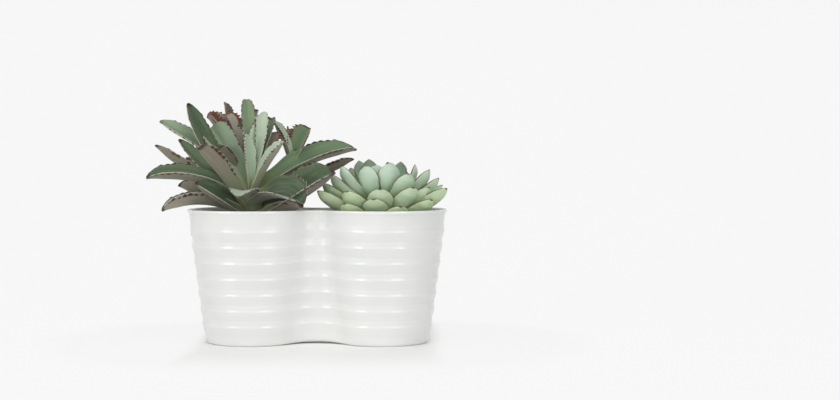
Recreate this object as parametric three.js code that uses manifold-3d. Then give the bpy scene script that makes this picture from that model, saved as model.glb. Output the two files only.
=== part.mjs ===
// Double planter pot: a ribbed sheet-steel pot with two round lobes and a drawn-in waist,
// holding two grower's pots, one with a felt-leaved succulent and one with a fleshy rosette.
// Millimetres, +Z up, -Y is the front. The origin is on the middle of the pressed bottom panel.

import * as THREE from 'three';
import { mergeVertices } from 'three/addons/utils/BufferGeometryUtils.js';
import Module from 'manifold-3d';

const wasm = await Module();
wasm.setup();

// Driving dimensions of the pot
const POT_HEIGHT = 111;
const LOBE_SPACING = 108; // between the axes of the two lobes
const RIM_RADIUS = 53.2; // lobe, outer face of the wall at the top
const BASE_RADIUS = 39; // lobe, outer face of the wall at the foot
const RIM_WAIST = 52; // across the waist at the top
const BASE_WAIST = 28; // across the waist at the foot
const SHEET = 0.6; // thickness of the steel

// The rim is folded outwards and down, the foot is hemmed inwards
const FOLD_GAP = 0.4;
const FOLD_DROP = 2.6;
const HEM_WIDTH = 3;
const FOOT_CHAMFER = 0.5;

// Ribs pressed outwards in the wall, and the plain bands above and below them
const RIB_PITCH = 13;
const RIB_DEPTH = 1;
const RIB_CREST = 0.42; // share of the rib above its crest
const RIB_ROUNDING = 0.3; // of the crest, as a share of its flanks
const TOP_BAND = 12;
const BOTTOM_BAND = 8;

// The foot and the ribs rise a little towards the waist
const WAIST_ARCH = 1.8;
const ARCH_REACH = 36; // to each side of the waist

// Bottom pan, pressed from the same sheet and standing on the hem
const FIT = 0.3; // clearance between pieces that touch
const PAN_FLANGE = 5.5;
const PANEL_INSET = 6.5;
const PANEL_CLEARANCE = 0.4; // under the panel when the hem stands on a table

// Grower's pots, one in each lobe
const NURSERY_HEIGHT = 90;
const NURSERY_WALL = 1.2;
const NURSERY_GAP = 3.8; // to the pot's wall, all round at its lip
const NURSERY_LIP = 8; // height of the stepped lip
const NURSERY_STEP = 1.6; // how far the lip stands out
const FOOT_MARGIN = 1; // of the panel shows round the foot
const FOOT_WIDTH = 4;
const FOOT_HEIGHT = 2;
const HOLE_RADIUS = 3.5;
const HOLE_CIRCLE = 19;
const HOLE_COUNT = 4;

// Soil
const SOIL_DROP = 7; // below the grower's lip at the edge
const SOIL_CROWN = 3;
const ROOTING_DEPTH = 14;

// Steps round the curved pieces
const LOBE_STEPS = 16;
const WAIST_STEPS = 6;
const ROUND_STEPS = 20;
const SMALL_STEPS = 12; // round holes, sockets and the stalk

// Heights that follow from these
const SEAT = SHEET + FIT;
const NURSERY_FLOOR = PANEL_CLEARANCE + SHEET + FIT;
const NURSERY_TOP = NURSERY_FLOOR + NURSERY_HEIGHT;
const SOIL_TOP = NURSERY_TOP - SOIL_DROP;
const RIBBED_HEIGHT = POT_HEIGHT - TOP_BAND - BOTTOM_BAND;
const RIB_COUNT = Math.round(RIBBED_HEIGHT / RIB_PITCH);
const RIB_HEIGHT = RIBBED_HEIGHT / RIB_COUNT;
const HALF_SPACING = LOBE_SPACING / 2;

const { lerp, clamp, degToRad } = THREE.MathUtils;

// Solids and surfaces

function toSolid(geometry) {
  const bare = geometry.clone();
  bare.deleteAttribute('normal');
  bare.deleteAttribute('uv');
  const merged = mergeVertices(bare, 1e-4);
  const vertProperties = new Float32Array(merged.getAttribute('position').array);
  const triVerts = new Uint32Array(merged.getIndex().array);
  return new wasm.Manifold(new wasm.Mesh({ numProp: 3, vertProperties, triVerts }));
}

function toGeometry(solid) {
  const { vertProperties, triVerts } = solid.getMesh();
  const geometry = new THREE.BufferGeometry();
  geometry.setAttribute('position', new THREE.BufferAttribute(vertProperties, 3));
  geometry.setIndex(new THREE.BufferAttribute(triVerts, 1));
  geometry.computeVertexNormals();
  return geometry;
}

function unite(geometries) {
  const [first, ...rest] = geometries.map(toSolid);
  return toGeometry(rest.reduce((whole, solid) => whole.add(solid), first));
}

function cut(geometry, tools) {
  return toGeometry(tools.map(toSolid).reduce((rest, tool) => rest.subtract(tool), toSolid(geometry)));
}

// A skin over rings of points. The last ring joins the first, or flat caps close both ends.
function loft(rings, capped) {
  const count = rings[0].length;
  const vertices = rings.flat().flatMap((point) => point.toArray());
  const triangles = [];
  const spans = capped ? rings.length - 1 : rings.length;
  for (let r = 0; r < spans; r++) {
    const low = r * count;
    const high = ((r + 1) % rings.length) * count;
    for (let i = 0; i < count; i++) {
      const next = (i + 1) % count;
      triangles.push(low + i, low + next, high + next);
      triangles.push(low + i, high + next, high + i);
    }
  }
  if (capped) {
    const last = (rings.length - 1) * count;
    for (const [a, b, c] of THREE.ShapeUtils.triangulateShape(rings[0], [])) triangles.push(c, b, a);
    for (const [a, b, c] of THREE.ShapeUtils.triangulateShape(rings.at(-1), [])) {
      triangles.push(last + a, last + b, last + c);
    }
  }
  const geometry = new THREE.BufferGeometry();
  geometry.setAttribute('position', new THREE.Float32BufferAttribute(vertices, 3));
  geometry.setIndex(triangles);
  geometry.computeVertexNormals();
  return geometry;
}

// A profile of [radius, height] points turned round the Z axis
function turned(profile, steps) {
  const points = profile.map(([radius, height]) => new THREE.Vector2(radius, height));
  const geometry = new THREE.LatheGeometry(points, steps);
  geometry.rotateX(Math.PI / 2);
  return geometry;
}

// The pot's plan, and rings of it

function planAt(height) {
  const rise = height / POT_HEIGHT;
  const lobe = lerp(BASE_RADIUS, RIM_RADIUS, rise);
  const waist = lerp(BASE_WAIST, RIM_WAIST, rise) / 2;
  const hollow = (HALF_SPACING ** 2 + waist ** 2 - lobe ** 2) / (2 * (lobe - waist));
  return { lobe, waist, hollow };
}

// How far the foot and the ribs are raised at a place along the pot
function archAt(x, height) {
  const nearness = 0.5 + 0.5 * Math.cos(Math.PI * Math.min(1, Math.abs(x) / ARCH_REACH));
  const fade = (POT_HEIGHT - FOLD_DROP - height) / (TOP_BAND - FOLD_DROP);
  return WAIST_ARCH * nearness * clamp(fade, 0, 1);
}

// The plan at a height, moved outwards by an offset, anticlockwise from the front of the right lobe
function planRing(height, offset, arched = true) {
  const { lobe, waist, hollow } = planAt(height);
  const join = Math.atan2(waist + hollow, HALF_SPACING);
  const ring = [];
  for (const side of [1, -1]) {
    const addPoint = (x, y) => {
      const lift = arched ? archAt(x, height) : 0;
      ring.push(new THREE.Vector3(side * x, side * y, height + lift));
    };
    for (let i = 0; i <= LOBE_STEPS; i++) {
      const turn = lerp(join - Math.PI, Math.PI - join, i / LOBE_STEPS);
      const radius = lobe + offset;
      addPoint(HALF_SPACING + radius * Math.cos(turn), radius * Math.sin(turn));
    }
    for (let i = 1; i < WAIST_STEPS; i++) {
      const turn = lerp(-join, join - Math.PI, i / WAIST_STEPS);
      const radius = hollow - offset;
      addPoint(radius * Math.cos(turn), waist + hollow + radius * Math.sin(turn));
    }
  }
  return ring;
}

// Shell

// One rib's outward bulge, from 0 at its top to 1 at its bottom: straight flanks and a rounded crest
function ribBulge(along) {
  const away = (along - RIB_CREST) / (along < RIB_CREST ? RIB_CREST : 1 - RIB_CREST);
  const fall = Math.hypot(away, RIB_ROUNDING) - RIB_ROUNDING;
  return RIB_DEPTH * (1 - fall / (Math.hypot(1, RIB_ROUNDING) - RIB_ROUNDING));
}

// The ribbed part of the wall, upwards, as [offset, height] points
function ribbedFace(offset) {
  const samples = [1, (1 + RIB_CREST) / 2, RIB_CREST];
  const face = [];
  for (let rib = 0; rib < RIB_COUNT; rib++) {
    const top = BOTTOM_BAND + (rib + 1) * RIB_HEIGHT;
    for (const along of samples) face.push([offset + ribBulge(along), top - along * RIB_HEIGHT]);
  }
  face.push([offset, BOTTOM_BAND + RIBBED_HEIGHT]);
  return face;
}

// Half a turn of the rim's fold, from its outer side over the top to its inner side
function foldArc(radius, steps) {
  const points = [];
  for (let i = 0; i <= steps; i++) {
    const turn = (Math.PI * i) / steps;
    const offset = FOLD_GAP / 2 + radius * Math.cos(turn);
    points.push([offset, POT_HEIGHT - FOLD_GAP / 2 - SHEET + radius * Math.sin(turn)]);
  }
  return points;
}

function shellProfile() {
  const hemEdge = -(SHEET + HEM_WIDTH);
  return [
    [hemEdge, 0],
    [-FOOT_CHAMFER, 0],
    [0, FOOT_CHAMFER],
    ...ribbedFace(0),
    ...foldArc(FOLD_GAP / 2, 2).reverse(),
    [FOLD_GAP, POT_HEIGHT - FOLD_DROP],
    [FOLD_GAP + SHEET, POT_HEIGHT - FOLD_DROP],
    ...foldArc(FOLD_GAP / 2 + SHEET, 4),
    ...ribbedFace(-SHEET).reverse(),
    [-SHEET, SHEET],
    [hemEdge, SHEET],
  ];
}

function shell() {
  return loft(shellProfile().map(([offset, height]) => planRing(height, offset)), false);
}

// Bottom pan: an upright flange, a seat on the hem, and a panel pressed down inside the hem

function basePan() {
  const wall = -(SHEET + FIT);
  const seatEnd = -(SHEET + HEM_WIDTH + 2 * FIT);
  return loft([
    planRing(PANEL_CLEARANCE, -PANEL_INSET, false),
    planRing(SEAT, seatEnd),
    planRing(SEAT, wall - FOOT_CHAMFER),
    planRing(SEAT + FOOT_CHAMFER, wall),
    planRing(SEAT + PAN_FLANGE, wall),
    planRing(SEAT + PAN_FLANGE, wall - SHEET),
    planRing(SEAT + SHEET, wall - SHEET),
    planRing(SEAT + SHEET, seatEnd),
    planRing(PANEL_CLEARANCE + SHEET, -PANEL_INSET, false),
  ], true);
}

// Grower's pots and the soil in them, standing on the panel on a lobe's axis

const NURSERY_FOOT = planAt(0).lobe - PANEL_INSET - FOOT_MARGIN;
const NURSERY_LIP_RADIUS = planAt(NURSERY_TOP).lobe - SHEET - NURSERY_GAP;
const NURSERY_SHOULDER = NURSERY_LIP_RADIUS - NURSERY_STEP;

// Radius of a grower's pot's outer face below the lip
function nurseryRadius(height) {
  return lerp(NURSERY_FOOT, NURSERY_SHOULDER, height / (NURSERY_HEIGHT - NURSERY_LIP));
}

function nurseryPot() {
  const lipBottom = NURSERY_HEIGHT - NURSERY_LIP;
  const floor = FOOT_HEIGHT + NURSERY_WALL;
  const body = turned([
    [0, FOOT_HEIGHT],
    [NURSERY_FOOT - FOOT_WIDTH - FOOT_HEIGHT, FOOT_HEIGHT],
    [NURSERY_FOOT - FOOT_WIDTH, 0],
    [NURSERY_FOOT, 0],
    [NURSERY_SHOULDER, lipBottom],
    [NURSERY_LIP_RADIUS, lipBottom],
    [NURSERY_LIP_RADIUS, NURSERY_HEIGHT],
    [NURSERY_LIP_RADIUS - NURSERY_WALL, NURSERY_HEIGHT],
    [NURSERY_LIP_RADIUS - NURSERY_WALL, lipBottom + NURSERY_WALL],
    [NURSERY_SHOULDER - NURSERY_WALL, lipBottom],
    [nurseryRadius(floor) - NURSERY_WALL, floor],
    [0, floor],
  ], ROUND_STEPS);
  const holes = [];
  for (let i = 0; i < HOLE_COUNT; i++) {
    const turn = ((i + 0.5) / HOLE_COUNT) * 2 * Math.PI;
    const hole = turned([[0, 0], [HOLE_RADIUS, 0], [HOLE_RADIUS, 2 * floor], [0, 2 * floor]], SMALL_STEPS);
    holes.push(hole.translate(HOLE_CIRCLE * Math.cos(turn), HOLE_CIRCLE * Math.sin(turn), 0));
  }
  return cut(body, holes).translate(0, 0, NURSERY_FLOOR);
}

// The plug of soil, with a socket where the stem goes in
function soilPlug(stemRadius) {
  const floor = FOOT_HEIGHT + NURSERY_WALL + FIT;
  const lipBottom = NURSERY_HEIGHT - NURSERY_LIP;
  const edge = SOIL_TOP - NURSERY_FLOOR;
  const inner = (height) => nurseryRadius(height) - NURSERY_WALL - FIT;
  const plug = turned([
    [0, floor],
    [inner(floor), floor],
    [inner(lipBottom), lipBottom],
    [inner(lipBottom), edge],
    [0.7 * inner(lipBottom), edge + 0.6 * SOIL_CROWN],
    [0.3 * inner(lipBottom), edge + SOIL_CROWN],
    [0, edge + SOIL_CROWN],
  ], ROUND_STEPS);
  const socketFloor = edge + SOIL_CROWN - ROOTING_DEPTH - FIT;
  const socketRadius = stemRadius + FIT;
  const socket = turned([
    [0, socketFloor],
    [socketRadius, socketFloor],
    [socketRadius, edge + 2 * SOIL_CROWN],
    [0, edge + 2 * SOIL_CROWN],
  ], SMALL_STEPS);
  return cut(plug, [socket]).translate(0, 0, NURSERY_FLOOR);
}

// Leaves. A leaf runs from a point on its stem to its tip along a bowed line.

// Felted leaf: a deep channel with a keel below it
const feltSection = (half, thick) => [
  [-half, 0.46 * half],
  [0, 0],
  [half, 0.46 * half],
  [0, -thick],
];
const feltOutline = [[0, 0.42], [0.25, 0.62], [0.5, 0.93], [0.76, 1], [0.94, 0.62]];

// Rosette leaf: nearly flat above, full and round below
const fleshySection = (half, thick) => [
  [-half, 0.16 * half],
  [0, 0],
  [half, 0.16 * half],
  [0.5 * half, -0.85 * thick],
  [-0.5 * half, -0.85 * thick],
];
const fleshyOutline = [[0, 0.5], [0.34, 0.74], [0.68, 1], [0.93, 0.8]];

function leaf({ from, tip, bow, width, thick, roll, section, outline }) {
  const chord = tip.clone().sub(from).normalize();
  const up = new THREE.Vector3(0, 0, 1);
  const above = up.addScaledVector(chord, -chord.z).normalize();
  const middle = from.clone().lerp(tip, 0.5).addScaledVector(above, 2 * bow);
  const line = new THREE.QuadraticBezierCurve3(from, middle, tip);
  const face = above.clone().applyAxisAngle(chord, degToRad(roll));
  const vertices = [];
  for (const [along, share] of outline) {
    const centre = line.getPoint(along);
    const forward = line.getTangent(along);
    const normal = face.clone().addScaledVector(forward, -face.dot(forward)).normalize();
    const side = new THREE.Vector3().crossVectors(forward, normal);
    const half = (share * width) / 2;
    for (const [across, out] of section(half, thick * Math.sqrt(share))) {
      vertices.push(centre.clone().addScaledVector(side, across).addScaledVector(normal, out));
    }
  }
  const count = section(1, 1).length;
  const start = vertices.length - count;
  vertices.push(tip);
  const triangles = [];
  for (let low = 0; low < start; low += count) {
    for (let i = 0; i < count; i++) {
      const next = (i + 1) % count;
      triangles.push(low + i, low + next, low + count + next);
      triangles.push(low + i, low + count + next, low + count + i);
    }
  }
  for (let i = 0; i < count; i++) triangles.push(start + i, start + ((i + 1) % count), start + count);
  for (let i = 2; i < count; i++) triangles.push(0, i, i - 1);
  const geometry = new THREE.BufferGeometry();
  const positions = vertices.flatMap((point) => point.toArray());
  geometry.setAttribute('position', new THREE.Float32BufferAttribute(positions, 3));
  geometry.setIndex(triangles);
  return geometry;
}

// A round stem along a list of points
function stem(points, radius) {
  const round = new THREE.Shape(new THREE.EllipseCurve(0, 0, radius, radius).getPoints(8).slice(0, 8));
  const extrudePath = new THREE.CatmullRomCurve3(points);
  return new THREE.ExtrudeGeometry(round, { steps: 4, extrudePath });
}

function stemPointAt(points, height) {
  const above = points.findIndex((point) => point.z >= height);
  const index = clamp(above < 0 ? points.length - 1 : above, 1, points.length - 1);
  const [low, high] = [points[index - 1], points[index]];
  return low.clone().lerp(high, (height - low.z) / (high.z - low.z));
}

// Both plants are placed on their lobe's axis, with heights measured from the pot's rim
const SOIL_LEVEL = SOIL_TOP + SOIL_CROWN - POT_HEIGHT;
const at = (x, y, z) => new THREE.Vector3(x, y, z);

// Felt-leaved succulent: a short trunk that branches into three leafy stems

const TRUNK_RADIUS = 6;
const BRANCH_RADIUS = 4;
const FELT_THICKNESS = 3.2;
const FORK = -11.7; // where the trunk branches
const BRANCHES = {
  middle: [at(0, 0, FORK), at(-1, -2, 0), at(-2, -3, 18)],
  left: [at(0, 0, FORK), at(-7, 9, 8), at(-12, 16, 42)],
  right: [at(0, 0, FORK), at(14, 20, 4), at(31, 34, 34)],
};

// Branch, height on it, tip (right, back, above the rim), bow, width, roll
const FELT_LEAVES = [
  ['left', 32, [-78, 5, 73], 4, 15, -50],
  ['middle', 8, [-54, 2, 88], 3, 16, -40],
  ['middle', 2, [-63, 12, 58], 3, 12, -45],
  ['middle', 10, [-84, 20, 52], 7, 14, -10],
  ['middle', 6, [-86, -22, 26], 13, 19, -12],
  ['middle', 3, [-57, -30, 21], 6, 17, 25],
  ['middle', 2, [-73, -18, 1], 12, 13, 0],
  ['middle', 3, [-44, -14, 17], 4, 18, -20],
  ['middle', 8, [-31, -42, 52], 3, 25, 10],
  ['middle', 13, [-35, 12, 71], 2, 24, -20],
  ['middle', 16, [-5, 8, 92], 2, 15, 0],
  ['middle', 14, [-3, -12, 62], 1, 10, -60],
  ['middle', 15, [10, 8, 81], 2, 15, 20],
  ['middle', 12, [14, 24, 76], 3, 17, 10],
  ['left', 38, [-40, 30, 75], 3, 15, 0],
  ['left', 36, [-37, 22, 79], 3, 14, -30],
  ['left', 40, [-27, 34, 89], 3, 15, -20],
  ['left', 40, [2, 26, 83], 3, 15, 20],
  ['right', 30, [18, 24, 72], 1, 11, -20],
  ['middle', 12, [27, -16, 56], 2, 14, 40],
  ['right', 32, [43, 36, 68], 1, 21, 0],
  ['right', 30, [26, 46, 67], 2, 17, 0],
  ['middle', 14, [14, 26, 64], 3, 17, 10],
  ['middle', 8, [84, 54, 49], 12, 18, 12],
  ['right', 20, [82, 52, 42], 4, 12, 20],
  ['middle', 6, [67, -35, 31], 9, 27, 32],
  ['middle', 2, [44, -38, 9], 10, 28, 45],
  ['middle', -6, [44, -34, 4], 4, 17, 0],
  ['middle', 0, [-7, -46, 10], 9, 25, 0],
  ['middle', 4, [-30, 52, 20], 9, 19, 0],
  ['middle', 6, [6, 56, 36], 8, 19, 0],
  ['left', 24, [-62, 44, 34], 8, 19, 0],
  ['left', 28, [-28, 60, 58], 6, 18, 0],
  ['right', 18, [34, 64, 30], 7, 17, 0],
];

function feltTrunk() {
  const trunk = [at(0, 0, SOIL_LEVEL - ROOTING_DEPTH), at(0, 0, SOIL_LEVEL), at(0, 0, FORK - FIT)];
  return stem(trunk, TRUNK_RADIUS).translate(0, 0, POT_HEIGHT);
}

// The branches and their leaves, cut level where they stand on the trunk
function feltCrown() {
  const knot = [at(0, 0, FORK), at(0, 0, FORK + BRANCH_RADIUS), at(0, 0, FORK + 2 * BRANCH_RADIUS)];
  const pieces = [stem(knot, TRUNK_RADIUS)];
  for (const points of Object.values(BRANCHES)) pieces.push(stem(points, BRANCH_RADIUS));
  for (const [branch, height, tip, bow, width, roll] of FELT_LEAVES) {
    pieces.push(leaf({
      from: stemPointAt(BRANCHES[branch], height),
      tip: at(...tip),
      bow,
      width,
      thick: FELT_THICKNESS,
      roll,
      section: feltSection,
      outline: feltOutline,
    }));
  }
  const below = new THREE.BoxGeometry(POT_HEIGHT, POT_HEIGHT, POT_HEIGHT);
  below.translate(0, 0, FORK - POT_HEIGHT / 2);
  return cut(unite(pieces), [below]).translate(0, 0, POT_HEIGHT);
}

// Fleshy rosette: broad leaves that stand in a dome, outer ones low and inner ones upright

const STALK_RADIUS = 7;
const STALK_TOP = 14;
const ROSETTE_RISE = 41; // of the highest tips
const ROSETTE_SINK = -8; // where the lowest leaves leave the stalk
const FLESHY_WIDTH = 20;
const FLESHY_THICKNESS = 5.5;
const FLESHY_BOW = -8;

// Leaf tips (right, back, above the rim), from the outer leaves to the middle
const FLESHY_TIPS = [
  [16, -43, 4],
  [-30, -38, 6],
  [41, -30, 9],
  [-6, -44, 10],
  [-53, -4, 12],
  [-44, 22, 10],
  [-16, 43, 9],
  [14, 43, 8],
  [40, 29, 10],
  [55, -6, 16],
  [-28, -35, 16],
  [-1, -41, 18],
  [26, -35, 19],
  [39, -25, 19],
  [50, 12, 20],
  [-50, 10, 20],
  [-30, 33, 20],
  [2, 38, 22],
  [28, 30, 22],
  [47, 6, 26],
  [-42, -2, 27],
  [22, -26, 30],
  [39, 2, 33],
  [-27, 20, 34],
  [-6, 26, 34],
  [16, 24, 34],
  [-33, -10, 36],
  [-12, -17, 36],
  [27, 4, 37],
  [6, -15, 38],
  [-18, 14, 39],
  [15, 12, 39],
  [-11, 12, 41],
  [-3, -4, 40],
  [4, 2, 41],
];

function rosettePlant() {
  const stalkEnd = SOIL_LEVEL - ROOTING_DEPTH;
  const pieces = [turned([
    [0, stalkEnd],
    [STALK_RADIUS, stalkEnd],
    [STALK_RADIUS, 0],
    [0.6 * STALK_RADIUS, STALK_TOP],
    [0, STALK_TOP],
  ], SMALL_STEPS)];
  for (const tip of FLESHY_TIPS) {
    const inward = tip[2] / ROSETTE_RISE;
    pieces.push(leaf({
      from: at(0, 0, lerp(ROSETTE_SINK, STALK_TOP, inward)),
      tip: at(...tip),
      bow: FLESHY_BOW,
      width: FLESHY_WIDTH * lerp(1, 0.8, inward ** 2),
      thick: FLESHY_THICKNESS,
      roll: 0,
      section: fleshySection,
      outline: fleshyOutline,
    }));
  }
  return unite(pieces).translate(0, 0, POT_HEIGHT);
}

// Materials

const finish = (color, roughness, metalness = 0) => (
  new THREE.MeshStandardMaterial({ color, roughness, metalness, side: THREE.FrontSide })
);
const whiteEnamel = () => finish(0xe9ebe8, 0.25);
const blackPlastic = () => finish(0x26292a, 0.6);
const pottingSoil = () => finish(0x3a2a1e, 0.95);
const feltLeaf = () => finish(0x6f8a68, 0.9);
const bloomLeaf = () => finish(0x9cc0a0, 0.6);

// Scene graph

function addPiece(group, name, geometry, material) {
  const mesh = new THREE.Mesh(geometry, material);
  mesh.name = name;
  group.add(mesh);
}

function planting(x, side, stemRadius) {
  const group = new THREE.Group();
  group.position.x = x;
  addPiece(group, `nursery_pot_${side}`, nurseryPot(), blackPlastic());
  addPiece(group, `soil_${side}`, soilPlug(stemRadius), pottingSoil());
  return group;
}

const planter = new THREE.Group();
addPiece(planter, 'shell', shell(), whiteEnamel());
addPiece(planter, 'base_pan', basePan(), whiteEnamel());

const leftPlanting = planting(-HALF_SPACING, 'left', TRUNK_RADIUS);
addPiece(leftPlanting, 'kalanchoe_trunk', feltTrunk(), feltLeaf());
addPiece(leftPlanting, 'kalanchoe', feltCrown(), feltLeaf());
planter.add(leftPlanting);

const rightPlanting = planting(HALF_SPACING, 'right', STALK_RADIUS);
addPiece(rightPlanting, 'echeveria', rosettePlant(), bloomLeaf());
planter.add(rightPlanting);

export default planter;
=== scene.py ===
import bpy
import math
import random
from mathutils import Matrix, Vector


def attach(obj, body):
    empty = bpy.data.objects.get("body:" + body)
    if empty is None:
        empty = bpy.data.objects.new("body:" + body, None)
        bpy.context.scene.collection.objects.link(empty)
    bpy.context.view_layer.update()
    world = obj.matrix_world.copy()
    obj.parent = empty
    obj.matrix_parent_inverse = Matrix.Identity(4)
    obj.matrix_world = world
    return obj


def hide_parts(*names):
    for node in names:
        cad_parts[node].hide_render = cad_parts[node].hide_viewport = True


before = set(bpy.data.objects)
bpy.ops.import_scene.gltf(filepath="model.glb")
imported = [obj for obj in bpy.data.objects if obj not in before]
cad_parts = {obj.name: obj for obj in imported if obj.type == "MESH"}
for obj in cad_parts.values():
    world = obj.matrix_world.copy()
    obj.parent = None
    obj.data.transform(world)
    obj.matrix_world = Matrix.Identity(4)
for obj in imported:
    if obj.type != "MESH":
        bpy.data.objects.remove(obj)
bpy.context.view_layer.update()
mm = 0.001
random.seed(7)


def deselectAll():
    active = bpy.context.view_layer.objects.active
    if active and active.mode != "OBJECT":
        bpy.ops.object.mode_set(mode="OBJECT")
    bpy.ops.object.select_all(action="DESELECT")


def pickOnly(piece):
    deselectAll()
    piece.select_set(True)
    bpy.context.view_layer.objects.active = piece


def applyModifier(piece, kind, **settings):
    modifier = piece.modifiers.new(kind.lower(), kind)
    for name, value in settings.items():
        setattr(modifier, name, value)
    pickOnly(piece)
    bpy.ops.object.modifier_apply(modifier=modifier.name)


def joinAll(pieces, name):
    deselectAll()
    for piece in pieces:
        piece.select_set(True)
    bpy.context.view_layer.objects.active = pieces[0]
    if len(pieces) > 1:
        bpy.ops.object.join()
    joined = bpy.context.object
    joined.name = name
    return joined


# Opens an empty mesh in edit mode, with one selected vertex at the place
def startVertex(place):
    bpy.ops.mesh.primitive_plane_add(size=mm, enter_editmode=True, location=(0, 0, 0))
    bpy.ops.mesh.merge(type="CENTER")
    bpy.ops.transform.translate(value=place)


# Spin turns clockwise for a positive angle, so the sign is turned round here
def spinSelected(angle, steps, centre):
    bpy.ops.mesh.spin(steps=steps, angle=-angle, center=centre, axis=(0, 0, 1))


def turnedPiece(name, centre, profile, steps):
    deselectAll()
    (radius, height), *rest = profile
    startVertex((centre[0] + radius, centre[1], height))
    for nextRadius, nextHeight in rest:
        step = (nextRadius - radius, 0, nextHeight - height)
        bpy.ops.mesh.extrude_region_move(TRANSFORM_OT_translate={"value": step})
        radius, height = nextRadius, nextHeight
    bpy.ops.mesh.select_all(action="SELECT")
    spinSelected(2 * math.pi, steps, (centre[0], centre[1], 0))
    bpy.ops.mesh.select_all(action="SELECT")
    bpy.ops.mesh.remove_doubles(threshold=0.01 * mm)
    bpy.ops.mesh.normals_make_consistent(inside=False)
    bpy.ops.object.mode_set(mode="OBJECT")
    piece = bpy.context.object
    piece.name = name
    return piece


# Smooths a finished piece, and says what it rides on and the nodes it stands for
def placePiece(piece, body, nodes, smoothAngle):
    pickOnly(piece)
    bpy.ops.object.shade_smooth_by_angle(angle=math.radians(smoothAngle))
    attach(piece, body)
    if nodes:
        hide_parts(*nodes)


# Gives a piece of one material its finish, with its place in its mesh
def finishPiece(piece, body, material, nodes=(), smoothAngle=35):
    pickOnly(piece)
    bpy.ops.object.transform_apply(location=True, rotation=True, scale=True)
    piece.data.materials.clear()
    piece.data.materials.append(material)
    placePiece(piece, body, nodes, smoothAngle)


def lerp(low, high, share):
    return low + (high - low) * share


# Steps smoothly through (place, value) pairs
def along(pairs, place):
    if place < pairs[0][0]:
        return pairs[0][1]
    for (low, lowValue), (high, highValue) in zip(pairs, pairs[1:]):
        if place <= high:
            share = (place - low) / (high - low)
            return lerp(lowValue, highValue, share * share * (3 - 2 * share))
    return pairs[-1][1]


def linear(colour):
    channels = [int(colour[i:i + 2], 16) / 255 for i in (1, 3, 5)]
    return (*(c / 12.92 if c <= 0.04045 else ((c + 0.055) / 1.055) ** 2.4 for c in channels), 1.0)


# Links sockets to what feeds them: a (node, output) pair, or a node alone for its first output in use
def linkSockets(node, links):
    for socket, source in links.items():
        if isinstance(source, tuple):
            output = source[0].outputs[source[1]]
        else:
            output = next(output for output in source.outputs if output.enabled)
        node.id_data.links.new(output, node.inputs[socket])


# Adds a node to a material or a world. Its settings are properties, or values of its sockets.
def addNode(owner, kind, settings=None, links=None):
    node = owner.node_tree.nodes.new("ShaderNode" + kind)
    for key, value in (settings or {}).items():
        if isinstance(key, str) and hasattr(node, key):
            setattr(node, key, value)
        else:
            node.inputs[key].default_value = value
    linkSockets(node, links or {})
    return node


# A range's sockets are 0 value, 1 and 2 from, 3 and 4 to. A colour mix's are 0 factor, 6 and 7 colours.
smooth = {"interpolation_type": "SMOOTHSTEP"}
colours = {"data_type": "RGBA"}
minus = {"operation": "SUBTRACT"}
plus = {"operation": "ADD"}
times = {"operation": "MULTIPLY"}
larger = {"operation": "MAXIMUM"}


# A material with its Principled shader, whose even sockets are set directly
def newMaterial(name, sockets):
    material = bpy.data.materials.new(name)
    material.use_nodes = True
    shader = material.node_tree.nodes["Principled BSDF"]
    for socket, value in sockets.items():
        shader.inputs[socket].default_value = value
    return material, shader


# Powder-coated steel sheet: a smooth, hard white skin with the faint unevenness of pressed sheet under it
def powderCoatedSteel():
    material, shader = newMaterial("powderCoatedSteel", {"Roughness": 0.17, "IOR": 1.5})
    place = addNode(material, "TexCoord"), "Object"
    clouds = addNode(material, "TexNoise", {"Scale": 1 / (45 * mm), "Detail": 2.0}, {"Vector": place})
    cloudy = addNode(material, "MapRange", {**smooth, 1: 0.3, 2: 0.7}, {0: clouds})
    tint = addNode(material, "Mix", {**colours, 6: linear("#ecedeb"), 7: linear("#f1f1ef")}, {0: cloudy})
    sheetWaves = addNode(material, "TexNoise", {"Scale": 1 / (18 * mm), "Detail": 1.0}, {"Vector": place})
    peel = addNode(material, "TexNoise", {"Scale": 1 / (1.2 * mm), "Detail": 1.0}, {"Vector": place})
    faintPeel = addNode(material, "Math", {**times, 1: 0.03}, {0: peel})
    relief = addNode(material, "Math", plus, {0: sheetWaves, 1: faintPeel})
    bump = addNode(material, "Bump", {"Strength": 0.06, "Distance": 0.5 * mm}, {"Height": relief})
    linkSockets(shader, {"Base Color": tint, "Normal": bump})
    return material


# Moulded polypropylene: near-black and dull, with the faint grain of the mould
def mouldedPolypropylene():
    material, shader = newMaterial("mouldedPolypropylene", {"Roughness": 0.55, "IOR": 1.49})
    place = addNode(material, "TexCoord"), "Object"
    grain = addNode(material, "TexNoise", {"Scale": 1 / (0.8 * mm), "Detail": 2.0}, {"Vector": place})
    dust = addNode(material, "TexNoise", {"Scale": 1 / (20 * mm), "Detail": 4.0}, {"Vector": place})
    dusty = addNode(material, "MapRange", {**smooth, 1: 0.45, 2: 0.75}, {0: dust})
    tint = addNode(material, "Mix", {**colours, 6: linear("#1f2122"), 7: linear("#343330")}, {0: dusty})
    bump = addNode(material, "Bump", {"Strength": 0.3, "Distance": 0.1 * mm}, {"Height": grain})
    linkSockets(shader, {"Base Color": tint, "Normal": bump})
    return material


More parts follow.
